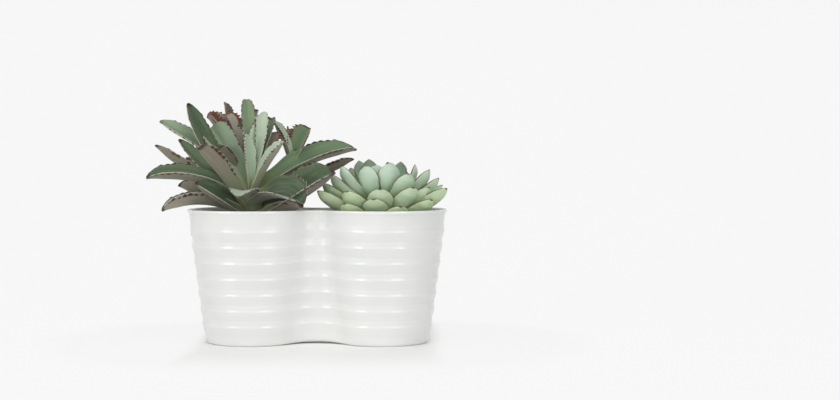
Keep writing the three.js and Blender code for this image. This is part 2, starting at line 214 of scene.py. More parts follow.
# Damp peat compost: dark brown crumbs, matt, with paler fibres
def peatCompost():
    material, shader = newMaterial("peatCompost", {"Roughness": 0.95})
    place = addNode(material, "TexCoord"), "Object"
    crumbs = addNode(material, "TexVoronoi", {"Scale": 1 / (3 * mm)}, {"Vector": place})
    fibres = addNode(material, "TexNoise", {"Scale": 1 / (1.5 * mm), "Detail": 5.0}, {"Vector": place})
    crumbly = addNode(material, "MapRange", {**smooth, 1: 0.1, 2: 0.7}, {0: crumbs})
    fibrous = addNode(material, "MapRange", {**smooth, 1: 0.58, 2: 0.72}, {0: fibres})
    dark = addNode(material, "Mix", {**colours, 6: linear("#4a3524"), 7: linear("#1e140d")}, {0: crumbly})
    tint = addNode(material, "Mix", {**colours, 7: linear("#7a5d40")}, {0: fibrous, 6: dark})
    bump = addNode(material, "Bump", {"Strength": 0.9, "Distance": 1.2 * mm}, {"Height": fibres})
    linkSockets(shader, {"Base Color": tint, "Normal": bump})
    return material


# What both plants' leaves share: how far a place is towards the tip and the sides, and the leaf's tone
def leafMasks(material):
    uv = addNode(material, "UVMap")
    split = addNode(material, "SeparateXYZ", {}, {0: uv})
    centred = addNode(material, "Math", {**minus, 1: 0.5}, {0: (split, "X")})
    away = addNode(material, "Math", {"operation": "ABSOLUTE"}, {0: centred})
    outward = addNode(material, "Math", {**times, 1: 2.0}, {0: away})
    tone = addNode(material, "Attribute", {"attribute_name": "tone"})
    return (split, "Y"), outward, (tone, "Fac")


feltSettings = {
    "thickness": 3.0 * mm,
    "branchRadius": 4 * mm,
    "branchTaper": 0.7,
    "finish": {"edge": 0.2, "soften": False},
    "blank": {
        "columns": 12,
        "rows": 36,
        "cup": 0.8,
        "cupCurve": 1.15,
        "roundness": 1.6,
        "fullness": [(0, 0.9), (0.3, 1), (0.8, 0.75), (1, 0.15)],
        "outline": [(0, 0.42), (0.25, 0.62), (0.5, 0.93), (0.7, 1), (0.86, 0.84), (0.95, 0.5), (1, 0.1)],
        "notch": 0.035,
        "notched": [(0, 0), (0.4, 0), (0.6, 1), (0.92, 1), (1, 0)],
    },
    "bluntOutline": [(0, 0.38), (0.25, 0.56), (0.5, 0.82), (0.75, 1), (0.88, 0.98), (0.96, 0.76), (1, 0.34)],
    "raggedNotch": 0.12,
    "foldedOutline": [(0, 0.6), (0.25, 0.75), (0.5, 0.95), (0.7, 1), (0.85, 0.66), (1, 0.08)],
    "foldedCup": 0.2,
}


# Chocolate spots between the notches of the outer margins, and a dark tip. Rust spreads them.
def feltSpots(material, tipward, outward, rust, shift, spots):
    middle, reach, largest = spots
    count = feltSettings["blank"]["rows"] / 2
    beats = addNode(material, "Math", {**times, 1: count}, {0: tipward})
    beat = addNode(material, "Math", {"operation": "FRACT"}, {0: beats})
    offBeat = addNode(material, "Math", {**minus, 1: 0.5}, {0: beat})
    narrowing = addNode(
        material, "MapRange", {**smooth, 1: 0.5, 2: 1.0, 3: reach, 4: 0.45 * reach}, {0: rust})
    inset = addNode(material, "Math", {**minus, 1: middle}, {0: outward})
    narrowed = addNode(material, "Math", times, {0: inset, 1: narrowing})
    squares = [
        addNode(material, "Math", {"operation": "POWER", 1: 2.0}, {0: part}) for part in (offBeat, narrowed)]
    distance = addNode(material, "Math", plus, {0: squares[0], 1: squares[1]})
    place = addNode(material, "CombineXYZ", {}, {
        "X": addNode(material, "Math", {**times, 1: 2.0}, {0: outward}),
        "Y": addNode(material, "Math", {**times, 1: count / 2}, {0: tipward}),
        "Z": shift,
    })
    patches = addNode(material, "TexNoise", {"Scale": 1.0, "Detail": 2.0}, {"Vector": place})
    patchy = addNode(material, "MapRange", {**smooth, 1: 0.4, 2: 0.6, 3: -0.08, 4: largest}, {0: patches})
    spreading = addNode(material, "Math", {**times, 1: 0.24}, {0: rust})
    spread = addNode(material, "Math", plus, {0: patchy, 1: spreading})
    outerPart = addNode(material, "MapRange", {**smooth, 1: 0.4, 2: 0.7}, {0: tipward})
    size = addNode(material, "Math", times, {0: spread, 1: outerPart})
    inside = addNode(material, "Math", minus, {0: size, 1: distance})
    blots = addNode(material, "MapRange", {**smooth, 1: -0.02, 2: 0.05}, {0: inside})
    young = addNode(material, "MapRange", {**smooth, 1: 0.5, 2: 0.1}, {0: rust})
    rusted = addNode(material, "MapRange", {**smooth, 1: 0.65, 2: 0.75}, {0: rust})
    tipped = addNode(material, "Math", larger, {0: young, 1: rusted})
    tipPart = addNode(material, "MapRange", {**smooth, 1: 0.95, 2: 0.985}, {0: tipward})
    tip = addNode(material, "Math", times, {0: tipPart, 1: tipped})
    return addNode(material, "Math", larger, {0: blots, 1: tip})


# Felted succulent leaf: dull, with a pale bloom of short hairs, and fine streaks that run to its tip
def feltedLeaf(name, greens, stem, spots, hairiness):
    material, shader = newMaterial(name, {
        "Roughness": 0.9, "IOR": 1.4, "Sheen Weight": hairiness, "Sheen Roughness": 0.6})
    tipward, outward, tone = leafMasks(material)
    rust = addNode(material, "Attribute", {"attribute_name": "rust"}), "Fac"
    shift = addNode(material, "Math", {**times, 1: 43.0}, {0: tone})
    deep, dull, fresh = (linear(green) for green in greens)
    stemTint, stemReach, stemShare = stem
    deepToDull = addNode(material, "MapRange", {**smooth, 1: 0.0, 2: 0.5}, {0: tone})
    dullToFresh = addNode(material, "MapRange", {**smooth, 1: 0.5, 2: 1.0}, {0: tone})
    lower = addNode(material, "Mix", {**colours, 6: deep, 7: dull}, {0: deepToDull})
    body = addNode(material, "Mix", {**colours, 7: fresh}, {0: dullToFresh, 6: lower})
    stretched = addNode(material, "CombineXYZ", {}, {
        "X": addNode(material, "Math", {**times, 1: 9.0}, {0: outward}),
        "Y": addNode(material, "Math", {**times, 1: 3.0}, {0: tipward}),
        "Z": shift,
    })
    streaks = addNode(material, "TexNoise", {"Scale": 1.0, "Detail": 3.0}, {"Vector": stretched})
    streaky = addNode(material, "MapRange", {**smooth, 1: 0.35, 2: 0.75, 3: 0.0, 4: 0.14}, {0: streaks})
    streaked = addNode(material, "Mix", {**colours, 7: fresh}, {0: streaky, 6: body})
    stemPart = addNode(
        material, "MapRange", {**smooth, 1: stemReach, 2: 0.1, 3: 0.0, 4: stemShare}, {0: tipward})
    greened = addNode(material, "Mix", {**colours, 7: linear(stemTint)}, {0: stemPart, 6: streaked})
    bleached = addNode(material, "MapRange", {**smooth, 1: 0.7, 2: 1.0, 3: 0.0, 4: 0.6}, {0: rust})
    base = addNode(material, "Mix", {**colours, 7: linear("#b4a398")}, {0: bleached, 6: greened})
    brown = addNode(material, "Mix", {**colours, 6: linear("#3f2b22"), 7: linear("#7f4630")}, {0: rust})
    spotted = addNode(material, "Mix", colours, {
        0: feltSpots(material, tipward, outward, rust, shift, spots), 6: base, 7: brown})
    place = addNode(material, "TexCoord"), "Object"
    hair = addNode(material, "TexNoise", {"Scale": 1 / (0.9 * mm), "Detail": 2.0}, {"Vector": place})
    bump = addNode(material, "Bump", {"Strength": 0.35, "Distance": 0.25 * mm}, {"Height": hair})
    linkSockets(shader, {"Base Color": spotted, "Normal": bump})
    return material


# Fleshy leaf under a powdery wax bloom that scatters light and dulls the green under it, with painted shade
# darkening the foot of each leaf
def waxyLeaf(name, blue, yellow, edge):
    material, shader = newMaterial(name, {
        "Roughness": 0.62, "IOR": 1.4,
        "Subsurface Weight": 0.12, "Subsurface Radius": (0.002, 0.003, 0.001)})
    tipward, outward, tone = leafMasks(material)
    place = addNode(material, "TexCoord"), "Object"
    rubbed = addNode(material, "TexNoise", {"Scale": 1 / (7 * mm), "Detail": 4.0}, {"Vector": place})
    powder = addNode(material, "TexNoise", {"Scale": 1 / (0.7 * mm), "Detail": 2.0}, {"Vector": place})
    body = addNode(material, "Mix", {**colours, 6: linear(blue), 7: linear(yellow)}, {0: tone})
    bloomPart = addNode(material, "MapRange", {**smooth, 1: 0.4, 2: 0.7, 3: 0.0, 4: 0.4}, {0: rubbed})
    bloom = addNode(material, "Mix", {**colours, 7: linear("#c9d8c6")}, {0: bloomPart, 6: body})
    # Painted shade: towards its foot each leaf is mixed to a darker green, standing for the shade in the
    # gaps between the leaves
    footShadeShare = addNode(material, "MapRange", {**smooth, 1: 0.64, 2: 0.15, 3: 0.0, 4: 0.8}, {0: tipward})
    paintedFootShade = addNode(material, "Mix", {**colours, 7: linear("#67834f")}, {0: footShadeShare, 6: bloom})
    margin = addNode(material, "MapRange", {**smooth, 1: 0.9, 2: 1.0, 3: 0.0, 4: 0.9}, {0: outward})
    outerHalf = addNode(material, "MapRange", {**smooth, 1: 0.5, 2: 0.8}, {0: tipward})
    rim = addNode(material, "Math", times, {0: margin, 1: outerHalf})
    tip = addNode(material, "MapRange", {**smooth, 1: 0.978, 2: 0.994}, {0: tipward})
    edgePart = addNode(material, "Math", larger, {0: rim, 1: tip})
    edged = addNode(material, "Mix", {**colours, 7: linear(edge)}, {0: edgePart, 6: paintedFootShade})
    bump = addNode(material, "Bump", {"Strength": 0.2, "Distance": 0.15 * mm}, {"Height": powder})
    linkSockets(shader, {"Base Color": edged, "Normal": bump})
    return material


# Young woody stem: green-brown skin with pale rings where old leaves have dropped
def scarredStem():
    material, shader = newMaterial("scarredStem", {"Roughness": 0.8})
    place = addNode(material, "TexCoord"), "Object"
    waves = {"bands_direction": "Z", "Scale": 1 / (30 * mm), "Distortion": 2.0, "Detail": 2.0}
    rings = addNode(material, "TexWave", waves, {"Vector": place}), "Fac"
    ringed = addNode(material, "MapRange", {**smooth, 1: 0.2, 2: 0.9}, {0: rings})
    tint = addNode(material, "Mix", {**colours, 6: linear("#6b6a45"), 7: linear("#8f7d5c")}, {0: ringed})
    bump = addNode(material, "Bump", {"Strength": 0.5, "Distance": 0.6 * mm}, {"Height": rings})
    linkSockets(shader, {"Base Color": tint, "Normal": bump})
    return material


steel = powderCoatedSteel()
polypropylene = mouldedPolypropylene()
compost = peatCompost()
# The numbers place the stem's tint along the leaf and the spots across it, and the last is the hairs' sheen
feltAbove = feltedLeaf(
    "feltedLeafAbove", ("#4a5c3e", "#728b67", "#c0d0ba"), ("#a3a868", 0.38, 0.55), (1.0, 4.5, 0.2), 0.2)
feltBelow = feltedLeaf(
    "feltedLeafBelow", ("#6e6757", "#8d8674", "#b3b3a0"), ("#7d8c63", 0.8, 0.8), (0.86, 4.2, 0.24), 0.3)
feltMargin = feltedLeaf(
    "feltedLeafMargin", ("#b9b5a2", "#c2beac", "#d0d0ba"), ("#b3ae86", 0.38, 0.55), (1.0, 1.0, 0.02), 0.3)
# Painted shade: the upper faces get a darker blue-green than the undersides, standing for the shade on the
# upper faces of the back leaves
bloomAboveShaded = waxyLeaf("waxyLeafAboveShaded", "#a8bfa8", "#bed2a2", "#6d4f3c")
bloomBelow = waxyLeaf("waxyLeafBelow", "#c6dcc8", "#c6d9a8", "#6d4f3c")
bloomEdge = waxyLeaf("waxyLeafEdge", "#8f7c60", "#8f7f58", "#634638")
stemSkin = scarredStem()
print("materials made")


shellSettings = {
    "height": 111 * mm,
    "halfSpacing": 54 * mm,  # from the middle to a lobe's axis
    "rimRadius": 53.2 * mm,
    "baseRadius": 39 * mm,
    "rimWaist": 52 * mm,
    "baseWaist": 28 * mm,
    "sheet": 0.6 * mm,
    "foldGap": 0.4 * mm,
    "foldDrop": 2.6 * mm,
    "foldSteps": 4,
    "hemWidth": 3 * mm,
    "footChamfer": 1.3 * mm,
    "ribs": 7,
    "ribDepth": 1 * mm,
    "ribCrest": 0.42,  # share of a rib above its crest
    "ribStep": 0.2,  # share of its depth that comes in a short step just above the crest
    "ribStepStart": 0.7,
    "ribRounding": 0.2,
    "ribRows": 24,
    "topBand": 12 * mm,
    "bottomBand": 8 * mm,
    "waistArch": 1.8 * mm,
    "archReach": 36 * mm,
    "lobeSteps": 52,
    "waistSteps": 14,
}


# The photograph's view: level with the plants, a little right of the pot's middle
cameraSettings = {
    "place": (0.0855, -1.385, 0.166),
    "pitchDown": 1.97,
    "lens": 71.23,
}
lightSettings = {
    # name: place, aim, size across, size up, power
    "softboxLeft": ((-0.92, -1.02, 0.25), (0.0, 0.0, 0.08), 0.5, 0.2, 2.8),
    "softboxRight": ((0.76, -1.15, 0.25), (0.0, 0.0, 0.08), 0.5, 0.2, 2.3),
    "overhead": ((-0.15, -0.6, 1.2), (0.0, 0.0, 0.1), 1.4, 1.1, 5.6),
    "frontFill": ((0.0, -1.9, 0.6), (0.0, 0.0, 0.1), 2.8, 1.0, 3.7),
    "backFill": ((0.1, 1.25, 0.75), (0.0, 0.0, 0.08), 1.6, 0.6, 2.6),
}
backdropSettings = {
    "floorFront": -2.2,
    "floorBack": 1.6,
    "halfWidth": 3.5,
    "height": 2.6,
    "bend": 0.9,
    "paper": "#fafaf8",
    "seen": "#f8f8f8",
    "shadowed": (0.01, 0.15),  # from the foot, where the floor goes over into the even tone
    "evenShare": 0.97,
    "besides": (0.085, 0.107, 0.86),  # the same beyond the pot's ends, and how far it goes there
    "roomTint": "#f6f7f8",
    "roomLow": 0.22,  # light of the room at the height of its sides, and of its ceiling
    "roomHigh": 0.6,
}


def addCamera():
    pitch = math.radians(90 - cameraSettings["pitchDown"])
    bpy.ops.object.camera_add(location=cameraSettings["place"], rotation=(pitch, 0, 0))
    camera = bpy.context.object
    camera.data.lens = cameraSettings["lens"]
    camera.data.sensor_width = 36
    camera.data.clip_start = 0.01
    bpy.context.scene.camera = camera


def addLights():
    for name, (place, aim, across, up, power) in lightSettings.items():
        direction = Vector(aim) - Vector(place)
        turn = direction.to_track_quat("-Z", "Y").to_euler()
        bpy.ops.object.light_add(type="AREA", location=place, rotation=turn)
        lamp = bpy.context.object
        lamp.name = name
        lamp.data.shape = "RECTANGLE"
        lamp.data.size = across
        lamp.data.size_y = up
        lamp.data.energy = power


# 1 for what the camera sees straight, in a gloss or through glass, and 0 for what lights the object
def seenRays(owner):
    rays = addNode(owner, "LightPath")
    direct = addNode(owner, "Math", larger, {0: (rays, "Is Camera Ray"), 1: (rays, "Is Glossy Ray")})
    return addNode(owner, "Math", larger, {0: direct, 1: (rays, "Is Transmission Ray")})


# Seamless paper: lit by the lamps where the pot's shadow falls, and an even pale tone further off
def paperSweep():
    b = backdropSettings
    material, shader = newMaterial("seamlessPaper", {"Roughness": 0.9, "Base Color": linear(b["paper"])})
    glow = addNode(material, "Emission", {"Color": linear(b["seen"]), "Strength": 1.0})
    place = addNode(material, "TexCoord"), "Object"
    reaches = []
    for side in (-1, 1):
        lobe = (side * shellSettings["halfSpacing"], 0, 0)
        reaches.append(addNode(material, "VectorMath", {"operation": "DISTANCE", 1: lobe}, {0: place}))
    nearest = addNode(material, "Math", {"operation": "MINIMUM"}, {0: reaches[0], 1: reaches[1]})
    low, high = (shellSettings["baseRadius"] + reach for reach in b["shadowed"])
    around = addNode(material, "MapRange", {**smooth, 1: low, 2: high, 4: b["evenShare"]}, {0: nearest})
    split = addNode(material, "SeparateXYZ", {}, {0: place})
    sideways = addNode(material, "Math", {"operation": "ABSOLUTE"}, {0: (split, "X")})
    low, high, top = b["besides"]
    besides = addNode(material, "MapRange", {**smooth, 1: low, 2: high, 4: top}, {0: sideways})
    even = addNode(material, "Math", larger, {0: around, 1: besides})
    share = addNode(material, "Math", times, {0: seenRays(material), 1: even})
    mix = addNode(material, "MixShader", {}, {0: share, 1: shader, 2: glow})
    linkSockets(material.node_tree.nodes["Material Output"], {"Surface": mix})
    return material


def addBackdrop():
    deselectAll()
    sweep = backdropSettings
    depth = sweep["floorBack"] - sweep["floorFront"]
    middle = (sweep["floorBack"] + sweep["floorFront"]) / 2
    bpy.ops.mesh.primitive_plane_add(size=1, enter_editmode=True, location=(0, 0, 0))
    bpy.ops.transform.resize(value=(2 * sweep["halfWidth"], depth, 1))
    bpy.ops.transform.translate(value=(0, middle, 0))
    bpy.ops.mesh.select_all(action="DESELECT")
    bpy.ops.object.mode_set(mode="OBJECT")
    paper = bpy.context.object
    paper.name = "paperSweep"
    for edge in paper.data.edges:
        edge.select = all(paper.data.vertices[v].co.y > middle for v in edge.vertices)
    bpy.ops.object.mode_set(mode="EDIT")
    bpy.ops.mesh.select_mode(type="EDGE")
    bpy.ops.mesh.extrude_region_move(TRANSFORM_OT_translate={"value": (0, 0, sweep["height"])})
    bpy.ops.object.mode_set(mode="OBJECT")
    for edge in paper.data.edges:
        ends = [paper.data.vertices[v].co for v in edge.vertices]
        edge.select = all(end.y > middle and end.z < 0.01 for end in ends)
    bpy.ops.object.mode_set(mode="EDIT")
    bpy.ops.mesh.bevel(offset=sweep["bend"], segments=24)
    bpy.ops.mesh.select_mode(type="VERT")
    bpy.ops.object.mode_set(mode="OBJECT")
    bpy.ops.object.shade_smooth()
    paper.data.materials.append(paperSweep())


def addWorld():
    b = backdropSettings
    world = bpy.data.worlds.new("studioRoom")
    bpy.context.scene.world = world
    world.use_nodes = True
    nodes = world.node_tree.nodes
    ambient = nodes["Background"]
    ambient.inputs["Color"].default_value = linear(b["roomTint"])
    direction = addNode(world, "TexCoord")
    split = addNode(world, "SeparateXYZ", {}, {0: (direction, "Generated")})
    climb = addNode(world, "MapRange", {"To Min": b["roomLow"], "To Max": b["roomHigh"]}, {0: (split, "Z")})
    linkSockets(ambient, {"Strength": climb})
    seenPaper = addNode(world, "Background", {"Color": linear(b["seen"]), "Strength": 1.0})
    mix = addNode(world, "MixShader", {}, {0: seenRays(world), 1: ambient, 2: seenPaper})
    linkSockets(nodes["World Output"], {"Surface": mix})


addCamera()
addLights()
addBackdrop()
addWorld()
bpy.context.scene.view_settings.view_transform = "Standard"
print("camera, lights and backdrop set")


def planAt(height):
    s = shellSettings
    rise = height / s["height"]
    lobe = lerp(s["baseRadius"], s["rimRadius"], rise)
    waist = lerp(s["baseWaist"], s["rimWaist"], rise) / 2
    hollow = (s["halfSpacing"] ** 2 + waist ** 2 - lobe ** 2) / (2 * (lobe - waist))
    return lobe, waist, hollow


# How far the foot and ribs rise towards the waist
def archAt(x, height):
    s = shellSettings
    nearness = 0.5 + 0.5 * math.cos(math.pi * min(1, abs(x) / s["archReach"]))
    fade = (s["height"] - s["foldDrop"] - height) / (s["topBand"] - s["foldDrop"])
    return s["waistArch"] * nearness * min(1, max(0, fade))


# Draws one level ring of the wall: a lobe, the back of the waist, the other lobe, the front
def addPlanRing(height, offset):
    s = shellSettings
    lobe, waist, hollow = planAt(height)
    join = math.atan2(waist + hollow, s["halfSpacing"])
    radius = lobe + offset
    bpy.ops.mesh.select_all(action="DESELECT")
    bpy.ops.mesh.primitive_plane_add(size=mm, location=(0, 0, 0))
    bpy.ops.mesh.merge(type="CENTER")
    bpy.ops.transform.translate(value=(
        s["halfSpacing"] - radius * math.cos(join), -radius * math.sin(join), height))
    for side in (1, -1):
        spinSelected(2 * (math.pi - join), s["lobeSteps"], (side * s["halfSpacing"], 0, height))
        spinSelected(2 * join - math.pi, s["waistSteps"], (0, side * (waist + hollow), height))


def selectVertices(piece, test):
    bpy.ops.object.mode_set(mode="OBJECT")
    for part in (piece.data.vertices, piece.data.edges, piece.data.polygons):
        for item in part:
            item.select = False
    for vertex in piece.data.vertices:
        vertex.select = test(vertex)
    bpy.ops.object.mode_set(mode="EDIT")
    bpy.ops.mesh.select_mode(type="VERT")


def ribBulge(height):
    s = shellSettings
    ribbed = s["height"] - s["topBand"] - s["bottomBand"]
    place = (height - s["bottomBand"]) / (ribbed / s["ribs"])
    if not 0 <= place <= s["ribs"]:
        return 0.0
    fromTop = 1 - place % 1
    crest, rounding = s["ribCrest"], s["ribRounding"]
    if fromTop < crest:
        flank = fromTop / crest
        return (1 - s["ribStep"]) * flank + s["ribStep"] * along([(s["ribStepStart"], 0), (1, 1)], flank)
    away = (fromTop - crest) / (1 - crest)
    return 1 - (math.hypot(away, rounding) - rounding) / (math.hypot(1, rounding) - rounding)


def buildShell():
    s = shellSettings
    deselectAll()
    bpy.ops.mesh.primitive_plane_add(size=mm, enter_editmode=True, location=(0, 0, 0))
    bpy.ops.mesh.delete(type="VERT")
    wallPiece = bpy.context.object
    ribTop = s["height"] - s["topBand"]
    foldFoot = s["height"] - s["foldGap"] / 2 - s["sheet"]
    fold = []
    for step in range(s["foldSteps"] + 1):
        turn = math.pi * (1 - step / s["foldSteps"])
        radius = s["foldGap"] / 2
        fold.append((radius + radius * math.cos(turn), foldFoot + radius * math.sin(turn)))
    rings = [
        (-(s["sheet"] + s["hemWidth"]), 0.0, 0),
        (-s["footChamfer"], 0.0, 0),
        (0.0, s["footChamfer"], 0),
        (0.0, s["bottomBand"], 3),
        (0.0, ribTop, s["ribs"] * s["ribRows"] - 1),
        (0.0, s["height"] - s["foldDrop"], 5),
        *[(offset, height, 0) for offset, height in fold],
        (s["foldGap"], s["height"] - s["foldDrop"], 0),
    ]
    for offset, height, _ in rings:
        addPlanRing(height, offset)
    bpy.ops.mesh.select_all(action="SELECT")
    bpy.ops.mesh.remove_doubles(threshold=0.02 * mm)
    bpy.ops.object.mode_set(mode="OBJECT")
    count = 2 * (s["lobeSteps"] + s["waistSteps"])
    for level in range(1, len(rings)):
        first = (level - 1) * count
        selectVertices(wallPiece, lambda vertex: first <= vertex.index < first + 2 * count)
        bpy.ops.mesh.bridge_edge_loops(number_cuts=rings[level][2], interpolation="LINEAR")
    bpy.ops.mesh.select_all(action="SELECT")
    bpy.ops.mesh.normals_make_consistent(inside=False)
    bpy.ops.object.mode_set(mode="OBJECT")
    # An open wall has no inside of its own, so its right end tells which way it faces
    if sum(face.normal.x for face in wallPiece.data.polygons if face.center.x > s["halfSpacing"]) < 0:
        wallPiece.data.flip_normals()
    ribGroup = wallPiece.vertex_groups.new(name="ribs")
    for vertex in wallPiece.data.vertices:
        bulge = ribBulge(vertex.co.z)
        if bulge > 0:
            ribGroup.add([vertex.index], bulge, "REPLACE")
    applyModifier(wallPiece, "DISPLACE", strength=s["ribDepth"], mid_level=0.0, vertex_group="ribs")
    for vertex in wallPiece.data.vertices:
        vertex.co.z += archAt(vertex.co.x, vertex.co.z)
    applyModifier(wallPiece, "SOLIDIFY", thickness=s["sheet"], offset=-1.0, use_even_offset=True)
    wallPiece.name = "ribbedShell"
    finishPiece(wallPiece, "planter", steel, ["shell"], 50)


buildShell()
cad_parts["base_pan"].data.materials.clear()
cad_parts["base_pan"].data.materials.append(steel)
print("shell made")


growerSettings = {
    "floor": 1.3 * mm,
    "height": 90 * mm,
    "wall": 1.2 * mm,
    "gap": 3.8 * mm,
    "lip": 8 * mm,
    "lipStep": 1.6 * mm,
    "panelInset": 6.5 * mm,
    "footMargin": 1 * mm,
    "footWidth": 4 * mm,
    "footHeight": 2 * mm,
    "holeRadius": 3.5 * mm,
    "holeCircle": 19 * mm,
    "holes": 4,
    "lipUnderRounding": 0.3 * mm,
    "lipTopRounding": 0.5 * mm,
    "steps": 72,
}
compostSettings = {
    "drop": 7 * mm,
    "crown": 3 * mm,
    "fit": 0.3 * mm,
    "rooting": 14 * mm,  # how deep the stems stand in the compost
    "steps": 48,
    "surfaceRings": 12,
    "unevenness": 0.5 * mm,
    "crumbs": ((150, 1.3 * mm), (22, 1.5 * mm)),  # how many, and their radius
    "crumbUnevenness": 0.35,
    "crumbRise": 0.2,
}
growerTop = growerSettings["floor"] + growerSettings["height"]
lipRadius = planAt(growerTop)[0] - shellSettings["sheet"] - growerSettings["gap"]
shoulder = lipRadius - growerSettings["lipStep"]
growerFoot = planAt(0)[0] - growerSettings["panelInset"] - growerSettings["footMargin"]
lipBottom = growerTop - growerSettings["lip"]


def growerRadius(height):
    g = growerSettings
    return lerp(growerFoot, shoulder, (height - g["floor"]) / (lipBottom - g["floor"]))


def growerPot(name, x, body, node):
    g = growerSettings
    bottom = g["floor"]
    floor = bottom + g["footHeight"] + g["wall"]
    pot = turnedPiece(name, (x, 0), [
        (0, bottom + g["footHeight"]),
        (growerFoot - g["footWidth"] - g["footHeight"], bottom + g["footHeight"]),
        (growerFoot - g["footWidth"], bottom),
        (growerFoot, bottom),
        (shoulder, lipBottom),
        (lipRadius - g["lipUnderRounding"], lipBottom),
        (lipRadius, lipBottom + g["lipUnderRounding"]),
        (lipRadius, growerTop - g["lipTopRounding"]),
        (lipRadius - g["lipTopRounding"], growerTop),
        (lipRadius - g["wall"], growerTop),
        (lipRadius - g["wall"], lipBottom + g["wall"]),
        (shoulder - g["wall"], lipBottom),
        (growerRadius(floor) - g["wall"], floor),
        (0, floor),
    ], g["steps"])
    drills = []
    for number in range(g["holes"]):
        turn = (number + 0.5) * 2 * math.pi / g["holes"]
        place = (x + g["holeCircle"] * math.cos(turn), g["holeCircle"] * math.sin(turn), floor)
        deselectAll()
        bpy.ops.mesh.primitive_cylinder_add(vertices=24, radius=g["holeRadius"], depth=0.02, location=place)
        drills.append(bpy.context.object)
    drill = joinAll(drills, "drainDrill")
    bpy.ops.object.transform_apply(location=True, rotation=True, scale=True)
    applyModifier(pot, "BOOLEAN", operation="DIFFERENCE", object=drill, solver="EXACT")
    bpy.data.objects.remove(drill)
    finishPiece(pot, body, polypropylene, [node], 30)


def compostPlug(name, x, body, node, stemRadius):
    g, c = growerSettings, compostSettings
    floor = g["floor"] + g["footHeight"] + g["wall"] + c["fit"]
    edge = growerTop - c["drop"]
    top = edge + c["crown"]
    inner = growerRadius(lipBottom) - g["wall"] - c["fit"]
    socketFloor = top - c["rooting"] - c["fit"]
    surface = []
    for step in range(1, c["surfaceRings"]):
        share = 1 - step / c["surfaceRings"]
        radius = lerp(stemRadius + c["fit"], inner, share)
        surface.append((radius, lerp(edge, top, 1 - share ** 2)))
    soil = turnedPiece(name, (x, 0), [
        (0, floor),
        (growerRadius(floor) - g["wall"] - c["fit"], floor),
        (inner, lipBottom),
        (inner, edge),
        *surface,
        (stemRadius + c["fit"], top),
        (stemRadius + c["fit"], socketFloor),
        (0, socketFloor),
    ], c["steps"])
    selectVertices(soil, lambda vertex: vertex.co.z > edge + 0.1 * mm)
    bpy.ops.transform.vertex_random(offset=c["unevenness"], seed=3)
    bpy.ops.object.mode_set(mode="OBJECT")
    crumbs = []
    for count, size in c["crumbs"]:
        deselectAll()
        bpy.ops.mesh.primitive_ico_sphere_add(
            subdivisions=1, radius=size, location=(0, 0, 0), enter_editmode=True)
        bpy.ops.transform.vertex_random(offset=c["crumbUnevenness"] * size, seed=5)
        bpy.ops.object.mode_set(mode="OBJECT")
        crumb = bpy.context.object
        for number in range(count):
            copy = crumb.copy()
            copy.data = crumb.data.copy()
            bpy.context.collection.objects.link(copy)
            away = math.sqrt(random.uniform(0.05, 0.9)) * inner
            turn = random.uniform(0, 2 * math.pi)
            height = lerp(top, edge, (away / inner) ** 2) + c["crumbRise"] * size
            copy.location = (x + away * math.cos(turn), away * math.sin(turn), height)
            copy.rotation_euler = [random.uniform(0, 6.28) for _ in range(3)]
            copy.scale = [random.uniform(0.5, 1.1)] * 3
            crumbs.append(copy)
        bpy.data.objects.remove(crumb)
    deselectAll()
    for crumb in crumbs:
        crumb.select_set(True)
    bpy.context.view_layer.objects.active = crumbs[0]
    bpy.ops.object.transform_apply(location=True, rotation=True, scale=True)
    finishPiece(joinAll([soil, *crumbs], name), body, compost, [node], 25)


lobeAxis = shellSettings["halfSpacing"]
trunkRadius = 6 * mm
stalkRadius = 7 * mm
growerPot("growerPotLeft", -lobeAxis, "kalanchoe_planting", "nursery_pot_left")
growerPot("growerPotRight", lobeAxis, "echeveria_planting", "nursery_pot_right")
compostPlug("compostLeft", -lobeAxis, "kalanchoe_planting", "soil_left", trunkRadius)
compostPlug("compostRight", lobeAxis, "echeveria_planting", "soil_right", stalkRadius)
print("grower's pots and compost made")


# A blank is one unit long up Z and one wide across X. Its upper face looks to -Y.
def leafBlank(name, blank, materials):
    deselectAll()
    bpy.ops.mesh.primitive_grid_add(
        x_subdivisions=blank["columns"], y_subdivisions=blank["rows"], size=1,
        location=(0, 0, 0.5), rotation=(math.pi / 2, 0, 0))
    leaf = bpy.context.object
    leaf.name = name
    for material in materials:
        leaf.data.materials.append(material)
    bpy.ops.object.transform_apply(location=True, rotation=True, scale=True)
    rim = leaf.vertex_groups.new(name="fullness")
    for vertex in leaf.data.vertices:
        side = abs(vertex.co.x) * 2
        place = vertex.co.z
        fullness = (1 - side ** blank["roundness"]) * along(blank["fullness"], place)
        rim.add([vertex.index], max(0.0, fullness), "REPLACE")
    columns = sorted({round(vertex.co.x, 5) for vertex in leaf.data.vertices})
    for column in columns:
        lift = blank["cup"] * abs(2 * column) ** blank["cupCurve"] / 2
        selectVertices(leaf, lambda vertex: abs(vertex.co.x - column) < 1e-4)
        bpy.ops.transform.translate(value=(0, -lift, 0))
    bpy.ops.object.mode_set(mode="OBJECT")
    heights = sorted({round(vertex.co.z, 5) for vertex in leaf.data.vertices})
    for number, height in enumerate(heights):
        notch = 1 + blank["notch"] * along(blank["notched"], height) * (1 if number % 2 else -1)
        share = along(blank["outline"], height) * notch
        selectVertices(leaf, lambda vertex: abs(vertex.co.z - height) < 1e-4)
        bpy.ops.transform.resize(value=(share, share, 1), center_override=(0, 0, height))
    bpy.ops.object.mode_set(mode="OBJECT")
    return leaf


